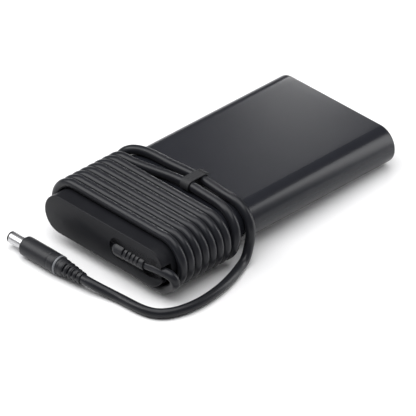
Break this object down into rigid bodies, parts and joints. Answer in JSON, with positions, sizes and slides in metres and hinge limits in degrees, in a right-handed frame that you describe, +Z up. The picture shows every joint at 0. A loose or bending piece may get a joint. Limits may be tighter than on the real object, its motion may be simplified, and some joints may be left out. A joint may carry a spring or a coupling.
{
  "type": "laptop power adapter",
  "caption": "Slim rounded power supply brick with its output cable coiled round the front, a cable strap, and a round barrel plug lying in front.",
  "frame": {"origin": "on the table top, below the middle of the whole outline with the plug lying in front", "axes": "+Z up from the table, +Y from the cable end to the mains inlet end, +X to the side the cable leaves by; the housing leans back 2.56 degrees on its rear lower edge"},
  "size_m": [0.127, 0.2271, 0.04],
  "materials": {
    "shell": "fine matt charcoal moulding",
    "shell_dark": "matt black moulding",
    "jacket": "smooth satin cable jacket",
    "soft_boot": "satin moulded rubber",
    "strap": "flat matt rubber strap",
    "nickel": "polished nickel plate",
    "brass_contact": "plated brass",
    "light_ring": "translucent grey light ring",
    "board": "green solder mask",
    "ferrite": "dark sintered ferrite",
    "copper": "enamelled copper wire",
    "aluminium": "plain aluminium sheet",
    "capacitor_sleeve": "shrink sleeve",
    "film_yellow": "moulded film capacitor case",
    "ceramic_blue": "dipped ceramic",
    "ceramic_white": "white ceramic",
    "epoxy": "moulded epoxy package",
    "insulation": "thin insulating film",
    "wire": "insulated hook-up wire"
  },
  "bodies": {
    "adapter": {"housing_sleeve": "shell", "front_end_cap": "shell", "rear_end_cap": "shell_dark", "inlet_socket": "shell_dark", "inlet_pins": "nickel", "inlet_wires": "wire", "circuit_board": "board", "lower_heat_spreader": "aluminium", "insulation_sheet": "insulation", "upper_heat_spreader": "aluminium", "fuse": "ceramic_white", "varistor": "ceramic_blue", "x_capacitor": "film_yellow", "emi_choke_core": "ferrite", "emi_choke_winding": "copper", "bridge_rectifier": "epoxy", "pfc_choke_core": "ferrite", "pfc_choke_winding": "copper", "bulk_capacitors": "capacitor_sleeve", "primary_heatsink": "aluminium", "secondary_heatsink": "aluminium", "primary_transistors": "epoxy", "secondary_transistors": "epoxy", "transformer_core": "ferrite", "transformer_winding": "copper", "resonant_capacitor": "film_yellow", "output_capacitors": "capacitor_sleeve", "y_capacitor": "ceramic_blue", "optocoupler": "epoxy", "control_chips": "epoxy", "cable_coil": "jacket", "output_strain_relief": "soft_boot", "output_wires": "wire", "strap_band": "strap"},
    "tongue": {"strap_tongue": "strap"},
    "tail_rear": {"cable_tail_rear": "jacket"},
    "tail_front": {"cable_tail_front": "jacket"},
    "plug": {"plug_barrel": "nickel", "plug_insulator": "shell_dark", "plug_inner_contact": "brass_contact", "plug_center_pin": "nickel", "plug_grip": "soft_boot", "plug_light_ring": "light_ring", "plug_strain_relief": "soft_boot"}
  },
  "joints": [
    {"name": "strap_open", "type": "hinge", "parent": "adapter", "child": "tongue", "pos_m": [0.00336, -0.01199, 0.03916], "axis": [1, 0, 0], "range_deg": [0, 110]},
    {"name": "tail_swing", "type": "hinge", "parent": "adapter", "child": "tail_rear", "pos_m": [0.05456, -0.03553, 0.00302], "axis": [0, 0, 1], "range_deg": [-2, 35]},
    {"name": "tail_bend", "type": "hinge", "parent": "tail_rear", "child": "tail_front", "pos_m": [0.05166, -0.09653, 0.00302], "axis": [0, 0, 1], "range_deg": [-2, 40]},
    {"name": "plug_bend", "type": "hinge", "parent": "tail_front", "child": "plug", "pos_m": [-0.00024, -0.10723, 0.0063], "axis": [0, 0, 1], "range_deg": [-4, 30]}
  ]
}
